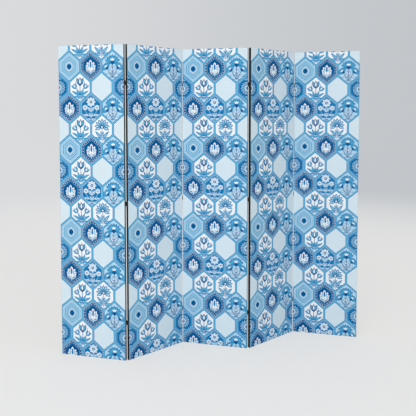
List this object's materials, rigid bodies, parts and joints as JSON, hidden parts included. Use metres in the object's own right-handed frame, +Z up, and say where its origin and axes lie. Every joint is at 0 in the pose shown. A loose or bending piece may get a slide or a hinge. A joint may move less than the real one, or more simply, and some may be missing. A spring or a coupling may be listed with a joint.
{
  "type": "folding screen",
  "caption": "Free-standing folding screen: canvas panels with a blue and white tile print on wooden frames, joined by small butt hinges into a zigzag.",
  "frame": {"origin": "on the floor, under the centre of the middle panel", "axes": "+Z up; the printed fronts face -Y; the zigzag of panels runs along X, panel_1 at -X and panel_5 at +X"},
  "size_m": [1.8129, 0.2061, 1.8],
  "materials": {
    "canvas_print": "printed polyester canvas, matte, fine plain weave",
    "back_cloth": "black non-woven lining, matte",
    "pine": "planed pine, unfinished",
    "hinge_steel": "black lacquered steel, satin",
    "pin_steel": "black lacquered steel, satin",
    "screw_steel": "blackened steel, satin",
    "staple_wire": "galvanised flat wire"
  },
  "bodies": {
    "panel_1": {"panel_1_canvas": "canvas_print", "panel_1_back_cloth": "back_cloth", "panel_1_left_stile": "pine", "panel_1_right_stile": "pine", "panel_1_top_rail": "pine", "panel_1_bottom_rail": "pine", "panel_1_cross_rails": "pine", "panel_1_staples": "staple_wire", "panel_1_hinge_screws": "screw_steel", "hinge_1_left_leaves": "hinge_steel", "hinge_1_pins": "pin_steel"},
    "panel_2": {"panel_2_canvas": "canvas_print", "panel_2_back_cloth": "back_cloth", "panel_2_left_stile": "pine", "panel_2_right_stile": "pine", "panel_2_top_rail": "pine", "panel_2_bottom_rail": "pine", "panel_2_cross_rails": "pine", "panel_2_staples": "staple_wire", "panel_2_hinge_screws": "screw_steel", "hinge_1_right_leaves": "hinge_steel", "hinge_2_left_leaves": "hinge_steel", "hinge_2_pins": "pin_steel"},
    "panel_3": {"panel_3_canvas": "canvas_print", "panel_3_back_cloth": "back_cloth", "panel_3_left_stile": "pine", "panel_3_right_stile": "pine", "panel_3_top_rail": "pine", "panel_3_bottom_rail": "pine", "panel_3_cross_rails": "pine", "panel_3_staples": "staple_wire", "panel_3_hinge_screws": "screw_steel", "hinge_2_right_leaves": "hinge_steel", "hinge_3_left_leaves": "hinge_steel", "hinge_3_pins": "pin_steel"},
    "panel_4": {"panel_4_canvas": "canvas_print", "panel_4_back_cloth": "back_cloth", "panel_4_left_stile": "pine", "panel_4_right_stile": "pine", "panel_4_top_rail": "pine", "panel_4_bottom_rail": "pine", "panel_4_cross_rails": "pine", "panel_4_staples": "staple_wire", "panel_4_hinge_screws": "screw_steel", "hinge_3_right_leaves": "hinge_steel", "hinge_4_left_leaves": "hinge_steel", "hinge_4_pins": "pin_steel"},
    "panel_5": {"panel_5_canvas": "canvas_print", "panel_5_back_cloth": "back_cloth", "panel_5_left_stile": "pine", "panel_5_right_stile": "pine", "panel_5_top_rail": "pine", "panel_5_bottom_rail": "pine", "panel_5_cross_rails": "pine", "panel_5_staples": "staple_wire", "panel_5_hinge_screws": "screw_steel", "hinge_4_right_leaves": "hinge_steel"}
  },
  "joints": [
    {"name": "fold_1", "type": "hinge", "parent": "panel_2", "child": "panel_1", "pos_m": [-0.54493, -0.08691, 0.9], "axis": [0, 0, -1], "range_deg": [-57, 123]},
    {"name": "fold_2", "type": "hinge", "parent": "panel_3", "child": "panel_2", "pos_m": [-0.18164, 0.08691, 0.9], "axis": [0, 0, 1], "range_deg": [-57, 123]},
    {"name": "fold_3", "type": "hinge", "parent": "panel_3", "child": "panel_4", "pos_m": [0.18164, -0.08691, 0.9], "axis": [0, 0, 1], "range_deg": [-57, 123]},
    {"name": "fold_4", "type": "hinge", "parent": "panel_4", "child": "panel_5", "pos_m": [0.54493, 0.08691, 0.9], "axis": [0, 0, -1], "range_deg": [-57, 123]}
  ],
  "couplings": [
    {"joint": "fold_3", "follows": "fold_2", "ratio": 1}
  ]
}
